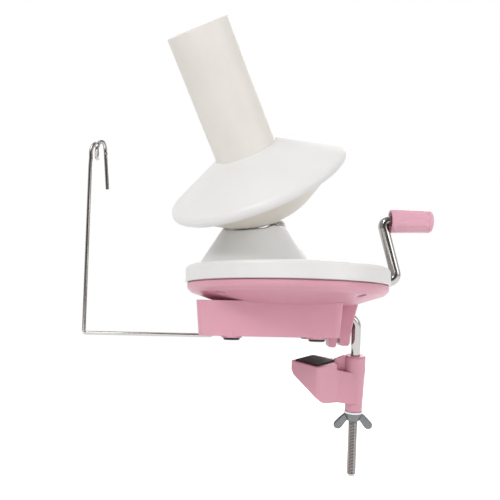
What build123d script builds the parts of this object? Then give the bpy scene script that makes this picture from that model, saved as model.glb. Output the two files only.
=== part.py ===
"""Yarn cone winder with a table clamp, a hand crank and a tilted winding spindle.

Millimetres, +Z up.  The origin is where the turntable's vertical axis meets the table top.
+X points to the crank, -Y to the user.  Every piece is one STEP file in parts/.
"""
import os
from math import atan, atan2, cos, degrees, pi, radians, sin, sqrt, tan

from build123d import *

os.makedirs("parts", exist_ok=True)

# ------------------------------------------------------------------ driving dimensions
FIT = 0.05                      # radial running clearance of every turning or sliding fit

# white gear cover and turntable
COVER_R = 66.5
COVER_BOTTOM = 35.6
COVER_TOP = 46.2
COVER_WALL = 2.2
DISC_GAP = 0.3                  # ring-shaped gap between the cover and the turntable
DISC_THICK = 2.4

# pink base housing
DISH_RIM_R = 65.3
DISH_RIM_TOP = 34.8
DISH_FLOOR = 22.5
WALL = 2.5
BOX_X = (-56.6, 32.0)           # at the top; the walls draw in by BOX_DRAFT each side
BOX_Y = 36.0
BOX_TOP = 23.6
BOX_BOTTOM = 2.4
BOX_DRAFT = 1.9
BOX_CORNER = 5.0
FOOT_R = 5.0
FOOT_XY = [(-34.9, -28.3), (16.6, -28.3), (-34.9, 28.3), (16.6, 28.3)]

# tilted spindle: its axis crosses the turntable's axis at SPINDLE_Z
SPINDLE_Z = 53.8
SPINDLE_TILT = 36.2
SPINDLE_AZIMUTH = 230.4
SHAFT_R = 3.0
BUSH_R = 4.2

# spindle housing on the turntable
HUMP_XY = (-21.3, -15.6)
HUMP_BASE_R = 35.0
HUMP_TOP = 70.0

# winding flange and tube, as distance along the spindle axis and radius
TUBE_FOOT, TUBE_TOP = 76.9, 152.9
TUBE_FOOT_R, TUBE_TOP_R = 19.4, 18.7
TUBE_WALL = 1.8
RIM_S, RIM_R, RIM_ROUND = 56.4, 57.7, 3.5
FLANGE_WALL = 2.0
FLANGE_SLOPE = 25.5

# bevel gears: teeth, slant distances of the tooth ends from the shared apex
CRANK_SLOPE = 21.0              # the crank shaft drops towards the centre
CRANK_Z = 39.3                  # height of the crank shaft at CRANK_X
CRANK_X = 67.0
CRANK_TEETH, TURNTABLE_TEETH = 12, 12   # one for one, so the arm is down when the flange leans over it
CRANK_GEAR_L = (8.0, 13.0)
SPINDLE_TEETH, SUN_TEETH = 10, 32
SPINDLE_GEAR_L = (21.0, 27.0)

# crank and knob
BAR_R = 3.5
ARM_LEAN = 14.0
ARM_TOP_Z = 79.5
KNOB_X = (67.8, 95.5)
KNOB_R = (8.0, 7.4)

# clamp, drawn upright and then swung about its hook
HOOK_Z = 15.0
CLAMP_SWING = 11.0
ROD_R = 3.0
ROD_X = 45.7
ROD_BEND = 6.0
ROD_END = -91.0
THREAD_START, THREAD_PITCH = -48.0, 1.0

# yarn guide
WIRE_R = 1.25
GUIDE_X = -51.2


# ------------------------------------------------------------------ small helpers
def turned(points):
    """Solid of revolution about Z from (radius, height) corners."""
    face = make_face(Polyline([(r, 0, z) for r, z in points], close=True))
    return revolve(face, Axis.Z)


def rod(radius, start, end):
    """Round bar along Z."""
    return Pos(0, 0, start) * Cylinder(radius, end - start, align=(Align.CENTER, Align.CENTER, Align.MIN))


def block(x, y, z):
    return Pos(x[0], y[0], z[0]) * Box(x[1] - x[0], y[1] - y[0], z[1] - z[0], align=(Align.MIN,) * 3)


def side_profile(points, y0, y1):
    """Plate drawn in the XZ plane and thickened from y0 to y1."""
    face = make_face(Polyline([(x, y0, z) for x, z in points], close=True))
    return extrude(face, amount=y1 - y0, dir=(0, 1, 0))


def polar(radius, degrees_):
    return radius * cos(radians(degrees_)), radius * sin(radians(degrees_))


def ray(cone, turn):
    return Vector(sin(cone) * cos(turn), sin(cone) * sin(turn), cos(cone))


def bevel_teeth(count, pitch_cone, slants, module, sign, phase):
    """Straight bevel teeth about +Z with the apex at the origin; sign is -1 on an internal gear."""
    near, far = slants
    addendum, dedendum = 0.85 * module / far, 1.12 * module / far
    width = 0.66 * module / (far * sin(pitch_cone))
    slope = 0.36 / sin(pitch_cone)
    tip, root = pitch_cone + sign * addendum, pitch_cone - sign * (dedendum + 0.035)
    half_tip = width - slope * addendum
    half_root = width + slope * (dedendum + 0.035)
    teeth = []
    for index in range(count):
        middle = phase + 2 * pi * index / count
        corners = [ray(root, middle - half_root), ray(tip, middle - half_tip),
                   ray(tip, middle + half_tip), ray(root, middle + half_root)]
        ends = [Wire.make_polygon([c * slant for c in corners], close=True) for slant in (near, far)]
        teeth.append(Solid.make_loft(ends, ruled=True))
    return teeth


def root_cone(pitch_cone, slants, module, sign):
    return pitch_cone - sign * 1.12 * module / slants[1]


def screw(head_r, head_h, shank_r, length, flat=False):
    """Screw with its head's outer face at z = 0, pointing along +Z, with a cross recess."""
    if flat:
        body = turned([(0, 0), (head_r, 0), (shank_r, head_h), (shank_r, length), (0, length)])
    else:
        body = turned([(0, 0), (head_r - 0.5, 0), (head_r, 0.5), (head_r, head_h), (shank_r, head_h),
                       (shank_r, length), (0, length)])
    depth = min(0.9, 0.6 * head_h)
    slot = Box(1.3 * head_r, 0.5, depth, align=(Align.CENTER, Align.CENTER, Align.MIN))
    return body - slot - Rot(0, 0, 90) * slot


def save(shape, name):
    export_step(shape, f"parts/{name}.step")


# ------------------------------------------------------------------ shared frames
tilt, lean = radians(SPINDLE_TILT), radians(SPINDLE_AZIMUTH)
spindle_dir = Vector(sin(tilt) * cos(lean), sin(tilt) * sin(lean), cos(tilt))
spindle_side = Vector(cos(tilt) * cos(lean), cos(tilt) * sin(lean), -sin(tilt))
spindle = Location(Plane(origin=(0, 0, SPINDLE_Z), x_dir=spindle_side, z_dir=spindle_dir))

slope = radians(CRANK_SLOPE)
crank_dir = Vector(cos(slope), 0, sin(slope))
apex_z = CRANK_Z - CRANK_X * tan(slope)
crank = Location(Plane(origin=(0, 0, apex_z), x_dir=(-sin(slope), 0, cos(slope)), z_dir=crank_dir))

swing = Location((0, 0, HOOK_Z), (CLAMP_SWING, 0, 0)) * Location((0, 0, -HOOK_Z))

# crank gear pair
shaft_angle = pi / 2 - slope
ratio = TURNTABLE_TEETH / CRANK_TEETH
crank_cone = atan(sin(shaft_angle) / (ratio + cos(shaft_angle)))
table_cone = shaft_angle - crank_cone
crank_module = 2 * CRANK_GEAR_L[1] * sin(crank_cone) / CRANK_TEETH

# spindle gear pair, the fixed gear is internal and opens downwards
ratio2 = SUN_TEETH / SPINDLE_TEETH
pinion_cone = atan(sin(tilt) / (ratio2 - cos(tilt)))
sun_cone = pinion_cone + tilt
spindle_module = 2 * SPINDLE_GEAR_L[1] * sin(pinion_cone) / SPINDLE_TEETH

# ------------------------------------------------------------------ base housing
dish_profile = [(0, DISH_FLOOR), (42, DISH_FLOOR), (62.2, 28.9), (64.7, 31.2), (DISH_RIM_R, 32.6),
                (DISH_RIM_R, DISH_RIM_TOP), (63.9, DISH_RIM_TOP), (63.9, 38.0), (62.2, 38.0),
                (62.2, 32.8), (61.2, 31.3), (42.4, DISH_FLOOR + WALL), (0, DISH_FLOOR + WALL)]
dish = turned(dish_profile)


def box_section(shrink, height):
    x0, x1 = BOX_X[0] + shrink, BOX_X[1] - shrink
    y = BOX_Y - shrink
    sketch = RectangleRounded(x1 - x0, 2 * y, max(BOX_CORNER - 0.4 * shrink, 1.5))
    return Pos((x0 + x1) / 2, 0, height) * sketch


box_outer = loft([box_section(0, BOX_TOP), box_section(BOX_DRAFT, BOX_BOTTOM)], ruled=True)
box_inner = loft([box_section(WALL, DISH_FLOOR), box_section(BOX_DRAFT + WALL, BOX_BOTTOM - 0.01)], ruled=True)
well = turned([(0, -5), (DISH_RIM_R, -5), (DISH_RIM_R, 32.6), (62.2, 32.6), (61.2, 31.3),
               (42.4, DISH_FLOOR + WALL), (0, DISH_FLOOR + WALL)])
shell = (box_outer & well) - box_inner

leg_side = [(33.3, 24.2), (46.0, 25.3), (42.7, 13.1), (40.7, 3.3), (40.2, -1.2), (38.8, -3.0),
            (35.0, -3.0), (33.7, -1.4)]
leg = side_profile(leg_side, -7.5, 7.5)
leg = fillet(leg.edges().filter_by(Axis.Z, tolerance=30).filter_by(
    lambda e: e.length > 8 and e.center().X > 38), 1.2)
leg_pocket = block((39.3, 60), (-5.2, 5.2), (7.5, 19.0))
edge_stop = side_profile([(26.2, 8), (31.2, 8), (31.6, 2.2), (31.2, -3.0), (30.2, -4.1), (27.8, -4.1),
                          (26.9, -3.0)], -9.0, 9.0)
webs = [side_profile([(29, 5), (34, 5), (34, 23), (29, 23)], y - 1.2, y + 1.2) for y in (-6.0, 6.0)]
hook_hole = Rot(0, 90, 0) * rod(ROD_R + FIT, 20, 50)
hook_hole = Pos(0, 0, HOOK_Z) * hook_hole

boss_top = 30.0
sun_boss = turned([(17.5, DISH_FLOOR), (21.9, DISH_FLOOR), (21.9, boss_top), (17.5, boss_top)])
washer_seat = turned([(21.5, 24.0), (25.5, 24.0), (25.5, 26.4), (21.5, 26.4)])
sun_screw_xy = [polar(19.7, a) for a in (45, 135, 225, 315)]
cover_boss_xy = [polar(58.3, a) for a in (45, 135, 225, 315)]
cover_seat_z = 33.5
cover_bosses = [Pos(x, y, 0) * rod(3.6, 29.4, cover_seat_z) for x, y in cover_boss_xy]
foot_bosses = [Pos(x, y, 0) * rod(FOOT_R + 1.2, 1.4, DISH_FLOOR + 0.5) for x, y in FOOT_XY]

# gear well below the floor, with the lower bearing of the turntable's axle
well_r, well_low = 15.4, 6.5
bearing_top = 9.0
gear_well = turned([(0, 4.0), (well_r + 1.8, 4.0), (well_r + 1.8, DISH_FLOOR), (well_r, DISH_FLOOR),
                    (well_r, well_low), (5.5, well_low), (5.5, bearing_top), (0, bearing_top)])
well_hole = rod(well_r, bearing_top, 31) + rod(SHAFT_R + FIT, 3, 12)


def shaft_height(x):
    return apex_z + x * tan(slope)


pillar_x = (46.0, 57.0)
inner_x = (18.2, 23.2)
bush_half = 5.6
pillar_points = [(pillar_x[0], 24.6), (pillar_x[1], 27.5), (pillar_x[1], shaft_height(pillar_x[1]) + bush_half),
                 (pillar_x[0], shaft_height(pillar_x[0]) + bush_half)]
pillar = side_profile(pillar_points, -bush_half, bush_half)
inner_block = block(inner_x, (-bush_half, bush_half), (13.5, DISH_FLOOR + 1.0))
bush_out = (pillar_x[1] - 1.6) / cos(slope)
bush_in = (pillar_x[0] + 1.6) / cos(slope)
inner_bush = (inner_x[0] / cos(slope) + 0.6, inner_x[1] / cos(slope) - 0.6)
bush_hole = crank * rod(BUSH_R - 0.2, bush_in, bush_out) + crank * rod(BUSH_R - 0.2, *inner_bush)
hub_end = inner_bush[0] - 0.15
shaft_way = crank * rod(SHAFT_R + 0.6, 12, 60) + crank * rod(5.7, 8, inner_bush[0])
pillar_face = crank * block((-9, 9), (-9, 9), (bush_out, 72))
pillar_back = crank * block((-9, 9), (-9, 9), (40, bush_in))

bar_way = crank * rod(BAR_R + 0.4, bush_out, 75)

guide_boss = Pos(GUIDE_X, 0, 0) * rod(3.4, 7.0, DISH_FLOOR + 0.5)
guide_web = block((-54.6, GUIDE_X), (-2.0, 2.0), (7.0, DISH_FLOOR))
guide_hole = Pos(GUIDE_X, 0, 0) * rod(WIRE_R + FIT, 0, 19.0)
guide_notch = block((-60, -50.5), (-4.2, 4.2), (0, 3.6))

base = dish + shell + leg + edge_stop + webs + sun_boss + washer_seat + cover_bosses + foot_bosses
base = base + gear_well + inner_block + guide_boss + (guide_web & box_outer)
base = base - shaft_way - well_hole + (pillar - pillar_face - pillar_back - shaft_way)
base = base - leg_pocket - hook_hole - bush_hole - bar_way - guide_hole - guide_notch
for x, y in sun_screw_xy:
    base -= Pos(x, y, 0) * rod(1.25, 20, 31)
for x, y in cover_boss_xy:
    base -= Pos(x, y, 0) * rod(1.5, 20, 40)
    base -= Pos(x, y, 0) * rod(2.9, 20, 30.6)
for x, y in FOOT_XY:
    base -= Pos(x, y, 0) * rod(2.6, 0, 8.0)
save(base, "base_housing")

foot = turned([(0, 0), (FOOT_R - 0.7, 0), (FOOT_R, 0.7), (FOOT_R, 1.4), (2.6, 1.4), (2.6, 7.0), (2.1, 7.6),
               (0, 7.6)])
save(Compound([Pos(x, y, 0) * foot for x, y in FOOT_XY]), "rubber_feet")

# ------------------------------------------------------------------ fixed internal gear
cone = root_cone(sun_cone, SPINDLE_GEAR_L, spindle_module, -1)
near = (SPINDLE_GEAR_L[0] * sin(cone), SPINDLE_Z - SPINDLE_GEAR_L[0] * cos(cone))
far = (SPINDLE_GEAR_L[1] * sin(cone), SPINDLE_Z - SPINDLE_GEAR_L[1] * cos(cone))
sun = turned([(24, boss_top), (24, near[1]), near, far, (22.0, far[1] - 0.5), (22.0, 32.2), (17.5, 32.2),
              (17.5, boss_top)])
# seen from the apex the gear opens along -Z, so it is built about +Z and turned over
sun_place = Pos(0, 0, SPINDLE_Z) * Rot(180, 0, 0)
contact_azimuth = lean + pi                  # the pinion sits opposite to the lean
phase = -contact_azimuth + pi / SUN_TEETH    # a tooth space faces the pinion's tooth
for tooth in bevel_teeth(SUN_TEETH, sun_cone, SPINDLE_GEAR_L, spindle_module, -1, phase):
    sun += sun_place * tooth
sun = sun & turned([(0, boss_top), (24, boss_top), (24, near[1]), (0, near[1])])
for x, y in sun_screw_xy:
    sun -= Pos(x, y, 0) * rod(1.25, 29, 31.9)
save(sun, "sun_gear")
sun_screw = screw(2.4, 1.8, 1.25, 11.0)
save(Compound([Pos(x, y, DISH_FLOOR - 1.8) * sun_screw for x, y in sun_screw_xy]), "sun_gear_screws")

thrust_washer = turned([(22.1, 26.4), (24.3, 26.4), (24.3, 27.85), (22.1, 27.85)])
save(thrust_washer, "thrust_washer")

# ------------------------------------------------------------------ white gear cover
cover_arc = [(COVER_R - 2.6 + 2.6 * cos(radians(a)), COVER_TOP - 2.6 + 2.6 * sin(radians(a)))
             for a in range(0, 91, 15)]
lip_r = COVER_R - 4.3
cover_profile = [(COVER_R - COVER_WALL, COVER_BOTTOM), (COVER_R - 0.4, COVER_BOTTOM),
                 (COVER_R, COVER_BOTTOM + 0.4)]
cover_profile += cover_arc + [(lip_r, COVER_TOP), (lip_r, COVER_TOP - COVER_WALL),
                              (COVER_R - COVER_WALL, COVER_TOP - COVER_WALL)]
cover = turned(cover_profile)
boss_high = 43.1
for x, y in cover_boss_xy:
    turn = degrees(atan2(y, x))
    cover += Pos(x, y, 0) * rod(3.6, cover_seat_z, boss_high)
    cover += Rot(0, 0, turn) * block((58.3, COVER_R - 1.5), (-1.2, 1.2), (38.4, boss_high))
    cover -= Pos(x, y, 0) * rod(1.3, cover_seat_z - 1, 41.0)
bar_slot = crank * (rod(BAR_R + 0.4, 60, 78) + block((-14, 0), (-BAR_R - 0.4, BAR_R + 0.4), (60, 78)))
cover -= bar_slot
save(cover, "gear_cover")
cover_screw = screw(2.7, 1.8, 1.3, 10.4)
save(Compound([Pos(x, y, 30.6 - 1.8) * cover_screw for x, y in cover_boss_xy]), "cover_screws")

# ------------------------------------------------------------------ turntable
disc_r = lip_r - DISC_GAP
disc_low = COVER_TOP - DISC_THICK
collar_r, collar_low = 28.1, 29.95
bore_r = 24 + FIT
disc = turned([(0, disc_low), (bore_r, disc_low), (bore_r, collar_low), (collar_r, collar_low),
               (collar_r, disc_low), (disc_r, disc_low), (disc_r, COVER_TOP - 0.4), (disc_r - 0.4, COVER_TOP),
               (0, COVER_TOP)])
exit_s = (COVER_TOP - SPINDLE_Z) / cos(tilt)
exit_xy = (exit_s * spindle_dir.X, exit_s * spindle_dir.Y)
disc -= Pos(exit_xy[0], exit_xy[1], 0) * rod(7.6, disc_low - 1, COVER_TOP + 1)
axle_low, axle_top, socket_low = 4.6, 41.0, 33.0
socket = rod(4.4, socket_low, disc_low)
for side_angle in (-55, 0, 55):
    socket += Rot(0, 0, SPINDLE_AZIMUTH + side_angle) * block((2, 13.4), (-1.1, 1.1), (37.5, disc_low))
socket -= spindle * rod(4.6, -22, 2)
socket -= spindle * rod(6.0, -12, 2)
socket -= spindle * turned([(0, -19.4), (6.9, -19.4), (8.9, -27.5), (0, -27.5)])
axle_pin_z, gear_pin_z = 35.4, 28.6
socket_cut = rod(SHAFT_R, 30, axle_top + 0.1) + Pos(0, 0, axle_pin_z) * Rot(90, 0, 0) * rod(1.0, -6, 6)
disc = disc + socket - socket_cut
housing_screw_xy = [(HUMP_XY[0] + polar(27.0, a)[0], HUMP_XY[1] + polar(27.0, a)[1]) for a in (156, 216, 276)]
retainer_screw_xy = [polar(26.1, a) for a in (50, 140, 230, 320)]
flat_m3 = screw(2.8, 1.7, 1.5, 8.0, flat=True)
flat_long = screw(1.8, 0.9, 1.0, 8.0, flat=True)
sink_m3 = turned([(0, 0), (2.8, 0), (1.5, 1.7), (1.5, 12), (0, 12)])
sink_long = turned([(0, 0), (1.8, 0), (1.0, 0.9), (1.0, 9), (0, 9)])
for x, y in housing_screw_xy:
    disc -= Pos(x, y, disc_low) * sink_m3
for x, y in retainer_screw_xy:
    disc -= Pos(x, y, 27.95) * sink_long
save(disc, "turntable_disc")

table_root = root_cone(table_cone, CRANK_GEAR_L, crank_module, 1)
near, far = [length * cos(table_cone) for length in CRANK_GEAR_L]
table_hub_top = 31.6
table_gear = turned([(SHAFT_R, near), (near * tan(table_root), near), (far * tan(table_root), far), (5.2, far),
                     (5.2, table_hub_top - apex_z), (SHAFT_R, table_hub_top - apex_z)])
for tooth in bevel_teeth(TURNTABLE_TEETH, table_cone, CRANK_GEAR_L, crank_module, 1, pi / TURNTABLE_TEETH):
    table_gear += tooth
table_gear = Pos(0, 0, apex_z) * (table_gear - rod(SHAFT_R, 0, 60))
gear_pin_hole = Pos(0, 0, gear_pin_z) * Rot(90, 0, 0) * rod(1.0, -8, 8)
save(table_gear - gear_pin_hole, "turntable_gear")
save(Pos(0, 0, gear_pin_z) * Rot(90, 0, 0) * rod(1.0, -5.0, 5.0), "turntable_gear_pin")
save(Pos(0, 0, axle_pin_z) * Rot(90, 0, 0) * rod(1.0, -4.3, 4.3), "turntable_axle_pin")
axle = turned([(0, axle_low), (SHAFT_R - 0.5, axle_low), (SHAFT_R, axle_low + 0.5), (SHAFT_R, axle_top),
               (0, axle_top)])
axle -= Pos(0, 0, axle_pin_z) * Rot(90, 0, 0) * rod(1.0, -8, 8)
save(axle - gear_pin_hole, "turntable_axle")

retainer = turned([(21.9 + 0.1, 27.95), (collar_r, 27.95), (collar_r, collar_low), (22.0, collar_low)])
for x, y in retainer_screw_xy:
    retainer -= Pos(x, y, 27.95) * sink_long
save(retainer, "turntable_retainer")
save(Compound([Pos(x, y, 27.95) * flat_long for x, y in retainer_screw_xy]), "retainer_screws")

# ------------------------------------------------------------------ winding flange profiles
bowl_outer = [(26.7, SHAFT_R), (26.7, 4.6), (28.0, 5.6), (34.8, 25.5), (44.0, 38.7), (51.0, 48.0),
              (53.83, 51.83)]
bowl_inner = [(55.3, 50.6), (53.2, 47.0), (46.1, 37.4), (37.0, 24.3), (31.6, 8.0), (66.0, 8.0), (66.0, SHAFT_R)]
bowl_points = [(r, s) for s, r in bowl_outer + bowl_inner]
bowl = turned(bowl_points)
rim_mid = (RIM_S, RIM_R - RIM_ROUND)


def rim_arc(radius, start, end, steps):
    """Corners on the rim's round, angle 0 pointing along +s and 90 outwards."""
    out = []
    for i in range(steps + 1):
        a = radians(start + (end - start) * i / steps)
        out.append((rim_mid[1] + radius * sin(a), rim_mid[0] + radius * cos(a)))
    return out


foot_line = [(14.0, TUBE_FOOT), (TUBE_FOOT_R, TUBE_FOOT)]
inner_round = RIM_ROUND - FLANGE_WALL
cone_points = foot_line + rim_arc(RIM_ROUND, FLANGE_SLOPE, 222.7, 24)
cone_points += rim_arc(inner_round, 222.7, FLANGE_SLOPE, 16)
cone_points += [(TUBE_FOOT_R + 0.5, TUBE_FOOT - 2.4), (14.0, TUBE_FOOT - 2.4)]
flange_cone = turned(cone_points)
save(spindle * flange_cone, "flange_cone")
save(spindle * bowl, "flange_bowl")

# ------------------------------------------------------------------ spindle housing
z_low = COVER_TOP
slope_r = 0.62
hump_profile = [(0, z_low), (HUMP_BASE_R, z_low), (HUMP_BASE_R, z_low + 0.8), (HUMP_BASE_R - 1.3, z_low + 3.0)]
top_r = HUMP_BASE_R - 1.3 - slope_r * (HUMP_TOP - 2.0 - z_low - 3.0)
hump_profile += [(top_r, HUMP_TOP - 2.0), (top_r - 1.0, HUMP_TOP - 0.6), (top_r - 2.6, HUMP_TOP), (0, HUMP_TOP)]
hump = Pos(HUMP_XY[0], HUMP_XY[1], 0) * turned(hump_profile)
sleeve_r, sleeve_top, seat_low = 6.3, 23.4, -8.0
sleeve = spindle * rod(sleeve_r, -20, sleeve_top)
sleeve_foot = Pos(exit_xy[0], exit_xy[1], 0) * turned([(0, z_low), (9.8, z_low), (9.8, 49.0), (6.5, 53.0), (0, 53.0)])
above = block((-90, 90), (-90, 90), (z_low, 120))


def under_bowl(gap):
    """Space swept by the bowl, widened by gap along the spindle axis."""
    line = [(0, 26.7 - gap), (5.6, 28.0 - gap), (25.5 + 0.3 * gap, 34.8 - gap), (38.7 + 0.5 * gap, 44.0 - gap),
            (60.0, 60.0 - gap), (60.0, 100), (0, 100)]
    return spindle * turned(line)


outer = hump - under_bowl(1.1)
cavity_profile = [(0, z_low - 1), (HUMP_BASE_R - 2.4, z_low - 1), (HUMP_BASE_R - 2.4, z_low + 0.8),
                  (HUMP_BASE_R - 3.8, z_low + 3.0), (top_r - 2.2, HUMP_TOP - 3.2), (0, HUMP_TOP - 3.2)]
cavity = Pos(HUMP_XY[0], HUMP_XY[1], 0) * turned(cavity_profile) - under_bowl(3.5)
outer = outer - cavity
housing_bosses = [Pos(x, y, 0) * rod(3.4, z_low, z_low + 9.0) for x, y in housing_screw_xy]
housing = outer + ((sleeve + sleeve_foot) & above)
housing += [boss & hump for boss in housing_bosses]
housing -= spindle * rod(BUSH_R, -30, 40)
housing -= spindle * rod(6.0, -30, seat_low)
housing -= spindle * rod(6.6, sleeve_top, 40)
for x, y in housing_screw_xy:
    housing -= Pos(x, y, 0) * rod(1.5, z_low - 1, z_low + 6.5)
save(housing, "spindle_housing")
save(Compound([Pos(x, y, disc_low) * flat_m3 for x, y in housing_screw_xy]), "housing_screws")

bush_bore = SHAFT_R + FIT
flange_thick = 1.2
bush_upper = turned([(bush_bore, 9.0), (BUSH_R, 9.0), (BUSH_R, sleeve_top), (5.4, sleeve_top),
                     (5.4, sleeve_top + flange_thick), (bush_bore, sleeve_top + flange_thick)])
save(spindle * bush_upper, "spindle_bush_upper")
bush_lower = turned([(bush_bore, seat_low - flange_thick), (5.4, seat_low - flange_thick), (5.4, seat_low),
                     (BUSH_R, seat_low), (BUSH_R, 4.0), (bush_bore, 4.0)])
save(spindle * bush_lower, "spindle_bush_lower")

# ------------------------------------------------------------------ spindle
shaft_low, shaft_top = -26.2, 105.0
clip_s = sleeve_top + flange_thick + 0.05
shaft = turned([(0, shaft_low), (SHAFT_R - 0.4, shaft_low), (SHAFT_R, shaft_low + 0.4), (SHAFT_R, clip_s),
                (SHAFT_R - 0.4, clip_s), (SHAFT_R - 0.4, clip_s + 0.8), (SHAFT_R, clip_s + 0.8),
                (SHAFT_R, shaft_top - 0.4), (SHAFT_R - 0.4, shaft_top), (0, shaft_top)])
pin_s = -16.4
pin_hole = Pos(0, 0, pin_s) * Rot(0, 90, 0) * rod(1.0, -10, 10)
shaft = shaft - pin_hole - rod(1.6, shaft_top - 12, shaft_top + 1)
save(spindle * shaft, "spindle_shaft")
clip = turned([(SHAFT_R - 0.4, clip_s), (4.4, clip_s), (4.4, clip_s + 0.8), (SHAFT_R - 0.4, clip_s + 0.8)])
clip -= block((0, 6), (-1.2, 1.2), (clip_s - 1, clip_s + 2))
save(spindle * clip, "spindle_circlip")

pin_root = pinion_cone - 1.12 * spindle_module / SPINDLE_GEAR_L[1]
z_near, z_far = SPINDLE_GEAR_L[0] * cos(pinion_cone), SPINDLE_GEAR_L[1] * cos(pinion_cone)
hub_top = seat_low - flange_thick - 0.1
pinion = turned([(SHAFT_R, -z_far), (z_far * tan(pin_root), -z_far), (z_near * tan(pin_root), -z_near),
                 (4.0, -z_near), (4.0, hub_top), (SHAFT_R, hub_top)])
# the pinion hangs below the apex, its teeth are built about +Z and turned over
pinion_teeth = bevel_teeth(SPINDLE_TEETH, pinion_cone, SPINDLE_GEAR_L, spindle_module, 1, pi)
for tooth in pinion_teeth:
    pinion += Rot(180, 0, 0) * tooth
pinion -= rod(SHAFT_R, -40, 0)
pinion -= pin_hole
save(spindle * pinion, "spindle_pinion")
pinion_pin = Pos(0, 0, pin_s) * Rot(0, 90, 0) * rod(1.0, -3.9, 3.9)
save(spindle * pinion_pin, "spindle_pinion_pin")

core_fit = TUBE_FOOT_R - TUBE_WALL - 0.06
core_top_s = 108.0
draft = (TUBE_FOOT_R - TUBE_TOP_R) / (TUBE_TOP - TUBE_FOOT)
core_top_r = core_fit - draft * (core_top_s - TUBE_FOOT)
core = turned([(SHAFT_R, 66.0), (8.0, 66.0), (8.0, 72.0), (12.0, TUBE_FOOT - 2.4), (14.0, TUBE_FOOT - 2.4),
               (14.0, TUBE_FOOT), (core_fit, TUBE_FOOT), (core_top_r, core_top_s),
               (core_top_r - 0.8, core_top_s + 0.8),
               (core_top_r - 2.2, core_top_s + 0.8), (core_top_r - 2.2, TUBE_FOOT + 2.6), (7.5, TUBE_FOOT + 2.6),
               (7.5, shaft_top), (SHAFT_R, shaft_top)])
for a in (30, 150, 270):
    core += Rot(0, 0, a) * block((6.5, core_top_r - 1.0), (-1.0, 1.0), (TUBE_FOOT + 2.0, 98.0))
save(spindle * core, "spindle_core")
core_screw = turned([(0, shaft_top - 11), (1.6, shaft_top - 11), (1.6, shaft_top), (6.0, shaft_top),
                     (6.0, shaft_top + 1.0), (4.0, shaft_top + 1.0), (4.0, shaft_top + 2.6),
                     (3.4, shaft_top + 3.4), (0, shaft_top + 3.4)])
cross = Pos(0, 0, shaft_top + 2.0) * Box(4.6, 0.9, 3, align=(Align.CENTER, Align.CENTER, Align.MIN))
core_screw = core_screw - cross - Rot(0, 0, 90) * cross
save(spindle * core_screw, "spindle_core_screw")

tube = turned([(TUBE_FOOT_R - TUBE_WALL, TUBE_FOOT), (TUBE_FOOT_R, TUBE_FOOT), (TUBE_TOP_R, TUBE_TOP - 0.3),
               (TUBE_TOP_R - 0.3, TUBE_TOP), (TUBE_TOP_R - TUBE_WALL + 0.3, TUBE_TOP),
               (TUBE_TOP_R - TUBE_WALL, TUBE_TOP - 0.3)])
save(spindle * tube, "core_tube")

# ------------------------------------------------------------------ crank
crank_bush = turned([(bush_bore, bush_in), (BUSH_R - 0.2, bush_in), (BUSH_R - 0.2, bush_out), (5.0, bush_out),
                     (5.0, bush_out + 1.2), (bush_bore, bush_out + 1.2)])
save(crank * crank_bush, "crank_bush_outer")
save(crank * turned([(bush_bore, inner_bush[0]), (BUSH_R - 0.2, inner_bush[0]), (BUSH_R - 0.2, inner_bush[1]),
                     (bush_bore, inner_bush[1])]), "crank_bush_inner")

shoulder = bush_out + 1.25
gear_far = CRANK_GEAR_L[1] * cos(crank_cone)
gear_near = CRANK_GEAR_L[0] * cos(crank_cone)
gear_phase = 0.0
crank_root = crank_cone - 1.12 * crank_module / CRANK_GEAR_L[1]
crank_gear = turned([(SHAFT_R, gear_near), (gear_near * tan(crank_root), gear_near),
                     (gear_far * tan(crank_root), gear_far), (5.0, gear_far), (5.0, hub_end), (SHAFT_R, hub_end)])
for tooth in bevel_teeth(CRANK_TEETH, crank_cone, CRANK_GEAR_L, crank_module, 1, gear_phase):
    crank_gear += tooth
crank_gear -= rod(SHAFT_R, 20, 60)
crank_pin_t = (gear_far + hub_end) / 2 + 0.5
crank_pin_hole = Pos(0, 0, crank_pin_t) * Rot(90, 0, 0) * rod(1.0, -10, 10)
crank_gear -= crank_pin_hole
save(crank * crank_gear, "crank_gear")
save(crank * (Pos(0, 0, crank_pin_t) * Rot(90, 0, 0) * rod(1.0, -4.9, 4.9)), "crank_gear_pin")

corner_low = Vector(0, 0, apex_z) + crank_dir * (71.95 / cos(slope))
arm_dir = Vector(-sin(radians(ARM_LEAN)), 0, cos(radians(ARM_LEAN)))
reach = (ARM_TOP_Z - corner_low.Z) / arm_dir.Z
corner_top = corner_low + arm_dir * reach
pin_end = KNOB_X[1] - 4.2
start = Vector(0, 0, apex_z) + crank_dir * shoulder
shaft_part = crank * rod(SHAFT_R, gear_near - 1.2, shoulder)
bar_end = KNOB_X[0] + 4.5
path = FilletPolyline(start, corner_low, corner_top, (bar_end, 0, ARM_TOP_Z), radius=(4.6, 3.9))
bar = sweep(Plane(origin=start, x_dir=(0, 1, 0), z_dir=crank_dir) * Circle(BAR_R), path=path)
knob_pin = Pos(0, 0, ARM_TOP_Z) * Rot(0, 90, 0) * rod(SHAFT_R, bar_end, pin_end)
groove = Pos(0, 0, ARM_TOP_Z) * Rot(0, 90, 0) * turned([(SHAFT_R - 0.4, pin_end - 1.8), (4, pin_end - 1.8),
                                                       (4, pin_end - 0.9), (SHAFT_R - 0.4, pin_end - 0.9)])
crank_bar = bar + shaft_part + knob_pin - groove - crank * crank_pin_hole
save(crank_bar, "crank_bar")
knob_clip = turned([(SHAFT_R - 0.4, pin_end - 1.8), (4.7, pin_end - 1.8), (4.7, pin_end - 0.9),
                    (SHAFT_R - 0.4, pin_end - 0.9)])
save(Pos(0, 0, ARM_TOP_Z) * Rot(0, 90, 0) * knob_clip, "knob_retaining_clip")

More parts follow.
